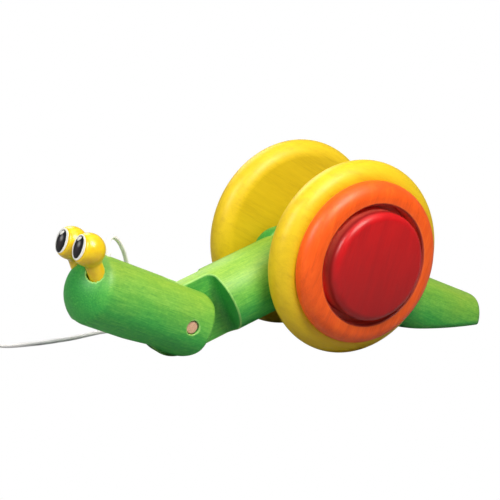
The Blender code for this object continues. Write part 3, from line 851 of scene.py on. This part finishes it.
for side, sign in (("left", -1.0), ("right", 1.0)):
    above = LEFT_EYE_ABOVE if side == "left" else RIGHT_EYE_ABOVE
    ball = KNUCKLE + HEAD_AXES.to_3x3() @ Vector((EYE_ALONG, 0.0, above))
    ball.y = sign * EYE_SPREAD
    reach = EYE_R + 1.2 * MM
    step = 0.35 * MM
    mesh = net_mesh(f"eye_ball_{side}", eye_shape, (-reach, -reach, -reach),
                    (reach, reach, STALK_LENGTH + 1.2 * MM), step)
    place(f"eye_knob_{side}", mesh, yellow_paint, "head",
          Matrix.Translation(ball) @ EYE_TURN.to_4x4(), (f"eye_{side}",))
    wide = Vector((0.0, -1.0, 0.0))
    tall = EYE_LOOK.cross(wide)
    turn = Matrix((wide, tall, EYE_LOOK)).transposed().to_4x4()
    face = Matrix.Translation(ball + EYE_LOOK * (EYE_FACE_DEPTH + 0.02 * MM)) @ turn
    pupil = PUPILS[side]
    patches = (
        ("eye_white", oval(*WHITE_OVAL), 0.05 * MM, white_paint),
        ("eye_pupil", oval(*pupil), 0.16 * MM, pupil_paint(f"pupil_{side}_paint", *pupil)),
        ("eye_glint", glint(*pupil), 0.30 * MM, white_paint),
    )
    for name, outline, lift, paint in patches:
        patch = eye_patch(f"{name}_{side}", outline, lift)
        place(f"{name}_{side}", patch, paint, "head", face)


# ---------------------------------------------------------------- cord and bead

def smooth_path(points, steps):
    """A curve through every point, with its tangents taken from the points next to it."""
    padded = [2.0 * points[0] - points[1]] + list(points) + [2.0 * points[-1] - points[-2]]
    path = []
    for a, b, c, d in zip(padded, padded[1:], padded[2:], padded[3:]):
        for i in range(steps):
            t = i / steps
            bend = (2.0 * a - 5.0 * b + 4.0 * c - d) * t**2 + (3.0 * b - a - 3.0 * c + d) * t**3
            path.append(0.5 * (2.0 * b + (c - a) * t + bend))
    path.append(points[-1])
    return path


def even_path(path, spacing):
    """The same curve with its points an even distance apart, and the distance of each along it."""
    places = np.array([list(point) for point in path])
    runs = np.concatenate([[0.0], np.cumsum(np.linalg.norm(np.diff(places, axis=0), axis=1))])
    marks = np.linspace(0.0, runs[-1], max(int(runs[-1] / spacing), 8))
    return np.stack([np.interp(marks, runs, places[:, i]) for i in range(3)], axis=1), marks


BRAID_PITCH = 7.0 * MM
BRAID_SIDES = 40
BRAID_SPACING = 0.22 * MM


def braided(name, path, start_run=0.0):
    """A round braid of eight strands, four each way, swept along a path; also its length."""
    places, runs = even_path(path, BRAID_SPACING)
    ahead = np.gradient(places, axis=0)
    ahead /= np.linalg.norm(ahead, axis=1)[:, None]
    frame_x = np.cross(ahead[0], (0.31, 0.22, 0.92))
    rings = []
    crests = []
    angles = 2.0 * np.pi * np.arange(BRAID_SIDES) / BRAID_SIDES
    for point, direction, run in zip(places, ahead, runs):
        frame_x = frame_x - direction * (frame_x @ direction)
        frame_x /= np.linalg.norm(frame_x)
        frame_y = np.cross(direction, frame_x)
        turn = 2.0 * np.pi * (run + start_run) / BRAID_PITCH
        one = np.abs(np.sin(2.0 * (angles + turn)))
        two = np.abs(np.sin(2.0 * (angles - turn)))
        over = np.sin(4.0 * angles) * 0.5 + np.sin(4.0 * turn) * 0.5
        crest = np.where(over > 0.0, one, two) ** 0.7
        reach = CORD_R * (0.86 + 0.16 * crest)
        ring = point + np.outer(reach * np.cos(angles), frame_x) + np.outer(reach * np.sin(angles), frame_y)
        rings.append(ring.tolist())
        crests.extend(crest.tolist())
    bm = bmesh.new()
    skin(bm, [[places[0].tolist()]] + rings + [[places[-1].tolist()]])
    mesh = finished(name, bm)
    crest_field = mesh.attributes.new("crest", "FLOAT", "POINT")
    crest_field.data.foreach_set("value", np.array([0.5] + crests + [0.5], np.float32))
    return mesh, runs[-1]


def knot_path(centre, along, size):
    """A tight overhand knot about a point, with its ends along the cord."""
    side = along.orthogonal().normalized()
    other = along.cross(side)
    points = []
    for i in range(72):
        t = 2.0 * math.pi * (i + 1.5) / 75
        x = math.sin(t) + 2.0 * math.sin(2.0 * t)
        y = math.cos(t) - 2.0 * math.cos(2.0 * t)
        z = -math.sin(3.0 * t)
        points.append(centre + size * (x * side + y * other + 1.15 * z * along))
    return points


LOOP = [(-147.8, 6.0, 70.3), (-143.0, 11.0, 72.4), (-136.5, 16.0, 69.0), (-130.7, 20.0, 62.5),
        (-125.0, 24.5, 53.0), (-118.5, 30.5, 38.0), (-113.5, 38.0, 20.0), (-111.5, 45.0, 6.0),
        (-114.5, 49.0, 2.0), (-126.0, 50.0, 1.4), (-138.0, 47.2, 1.4), (-150.0, 44.5, 1.4)]
BEAD_BORE = CORD_R + 0.9 * MM
BEAD_LIP = 0.8 * MM
forward = Vector((-1.0, 0.0, 0.0))
cotton = cord_cotton("cotton_cord")
bead_low, bead_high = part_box("grip_bead")
BEAD = (bead_low + bead_high) / 2.0
BEAD_R = (bead_high.z - bead_low.z) / 2.0

# The cord rises from a knot in the head's pocket, loops over and runs down to the floor
inward = HEAD_AXES.to_3x3() @ Vector((0.0, 0.0, -1.0))
mouth = KNUCKLE + HEAD_AXES.to_3x3() @ Vector((CORD_HOLE_ALONG, 0.0, DOWEL_R))
pocket = mouth + inward * (2.0 * DOWEL_R - KNOT_POCKET_DEPTH + KNOT_R + GAP)
loop_points = [Vector((WHEEL_CENTRE.x + x * MM, y * MM, z * MM)) for x, y, z in LOOP]
path = smooth_path([pocket, mouth + inward * 6.0 * MM, mouth - inward * 1.0 * MM] + loop_points, 24)
join_x = LIFT.x + 8.0 * MM
join = max(i for i, point in enumerate(path) if point.x > join_x and point.y > 40.0 * MM)
loop_mesh, loop_run = braided("cord_loop_shape", path[:join + 1])
loop = place("cord_loop", loop_mesh, cotton, None, stands_for=("cord_upper", "cord_lower"))
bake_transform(loop)

# From there it lies on the floor as far as the bead, and ends in a knot beyond it
end_knot = BEAD + forward * (BEAD_R * 0.93 + KNOT_R)
lead_guide = [LIFT, LIFT + Vector((-24.0, -1.4, 0.0)) * MM, LIFT + Vector((-46.0, 0.4, 0.9)) * MM,
              BEAD - forward * (BEAD_R + 2.0 * MM), BEAD, end_knot]
lead_mesh, _ = braided("cord_lead_shape", path[join:-1] + smooth_path(lead_guide, 24), loop_run)
lead = place("cord_lead_run", lead_mesh, cotton, None, stands_for=("cord_lead",))
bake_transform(lead)

for name, centre, along, body in (("cord_end_knot", end_knot, forward, "cord_lead"),
                                  ("cord_head_knot", pocket, inward, "head")):
    knot_mesh, _ = braided(name + "_shape", knot_path(centre, along, 0.82 * MM))
    place(name, knot_mesh, cotton, body)

outer = arc(0.0, 0.0, BEAD_R, BEAD_R, -74.0, 74.0, 36)
lip_start = [(BEAD_BORE, outer[0][1] + BEAD_LIP), (BEAD_BORE + 0.3 * BEAD_LIP, outer[0][1] + 0.25 * BEAD_LIP)]
lip_end = [(radius, -height) for radius, height in reversed(lip_start)]
bead_mesh = turned("grip_bead_shape", lip_start + outer + lip_end, 96, closed=True)
bead_turn = forward.to_track_quat("Z", "Y").to_matrix().to_4x4()
place("grip_bead_turned", bead_mesh, plain_wood("bead_wood", 2, (0.11, 0.02, 0.07)), "cord_lead",
      Matrix.Translation(BEAD) @ bead_turn, ("grip_bead",))


# ---------------------------------------------------------------- floor, light and camera

def build_floor():
    """A pale floor that stays white to the eye and returns only part of the light."""
    bm = bmesh.new()
    bmesh.ops.create_grid(bm, x_segments=1, y_segments=1, size=6.0)
    mesh = bpy.data.meshes.new("floor")
    bm.to_mesh(mesh)
    bm.free()
    floor = bpy.data.objects.new("floor", mesh)
    floor.location = (0.0, 0.0, -0.05 * MM)
    bpy.context.scene.collection.objects.link(floor)
    shader = Shader("floor_white")
    shader.finish((0.3, 0.3, 0.3, 1.0), 0.9, specular=0.1)
    glow = shader.node("ShaderNodeEmission", Color=(1.0, 1.0, 1.0, 1.0), Strength=1.0)
    seen = shader.node("ShaderNodeLightPath").outputs["Is Camera Ray"]
    choice = shader.tree.nodes.new("ShaderNodeMixShader")
    shader.put(choice.inputs[0], seen)
    shader.tree.links.new(shader.surface.outputs[0], choice.inputs[1])
    shader.tree.links.new(glow.outputs[0], choice.inputs[2])
    shader.tree.links.new(choice.outputs[0], shader.tree.nodes["Material Output"].inputs["Surface"])
    mesh.materials.append(shader.material)


def build_world():
    world = bpy.data.worlds.new("studio")
    bpy.context.scene.world = world
    world.use_nodes = True
    tree = world.node_tree
    lit = tree.nodes["Background"]
    lit.inputs["Color"].default_value = (0.86, 0.93, 1.0, 1.0)
    lit.inputs["Strength"].default_value = 0.18
    seen = tree.nodes.new("ShaderNodeBackground")
    seen.inputs["Color"].default_value = (1.0, 1.0, 1.0, 1.0)
    choice = tree.nodes.new("ShaderNodeMixShader")
    path = tree.nodes.new("ShaderNodeLightPath")
    tree.links.new(path.outputs["Is Camera Ray"], choice.inputs[0])
    tree.links.new(lit.outputs[0], choice.inputs[1])
    tree.links.new(seen.outputs[0], choice.inputs[2])
    tree.links.new(choice.outputs[0], tree.nodes["World Output"].inputs["Surface"])


def add_lamp(name, azimuth, elevation, distance, size, power, colour):
    """A soft box aimed at the toy; azimuth is measured from the toy's left side towards its tail."""
    data = bpy.data.lights.new(name, "AREA")
    data.shape = "DISK"
    data.size = size
    data.energy = power
    data.color = colour
    lamp = bpy.data.objects.new(name, data)
    a = math.radians(azimuth)
    e = math.radians(elevation)
    away = Vector((math.sin(a) * math.cos(e), -math.cos(a) * math.cos(e), math.sin(e)))
    lamp.location = WHEEL_CENTRE + away * distance
    lamp.rotation_mode = "QUATERNION"
    lamp.rotation_quaternion = (-away).to_track_quat("-Z", "Y")
    bpy.context.scene.collection.objects.link(lamp)


def build_camera():
    """A long lens to the left of the head, a little above it and slightly rolled."""
    azimuth = math.radians(33.94)
    elevation = math.radians(14.125)
    roll = math.radians(4.19)
    aim = Vector((2.25 * MM, 0.0, 60.44 * MM))
    distance = 946.5 * MM
    back = Vector((-math.sin(azimuth) * math.cos(elevation), -math.cos(azimuth) * math.cos(elevation),
                   math.sin(elevation)))
    right = (-back).cross(Vector((0.0, 0.0, 1.0))).normalized()
    up = right.cross(-back)
    turn = Matrix((right, up, back)).transposed() @ Matrix.Rotation(roll, 3, "Z")
    data = bpy.data.cameras.new("camera")
    data.sensor_width = 36.0
    data.lens = 112.76
    data.clip_start = 0.05
    camera = bpy.data.objects.new("camera", data)
    camera.matrix_world = Matrix.Translation(aim + back * distance) @ turn.to_4x4()
    bpy.context.scene.collection.objects.link(camera)
    bpy.context.scene.camera = camera


build_floor()
build_world()
add_lamp("key_light", -8.0, 52.0, 0.62, 0.34, 4.3, (1.0, 0.96, 0.88))
add_lamp("side_light", -84.0, 34.0, 1.0, 0.4, 5.4, (1.0, 0.98, 0.94))
add_lamp("top_light", 30.0, 84.0, 1.2, 1.0, 3.2, (1.0, 0.98, 0.94))
add_lamp("back_light", 178.0, 34.0, 1.2, 0.7, 5.0, (1.0, 0.98, 0.94))
build_camera()
bpy.context.scene.view_settings.view_transform = "Standard"
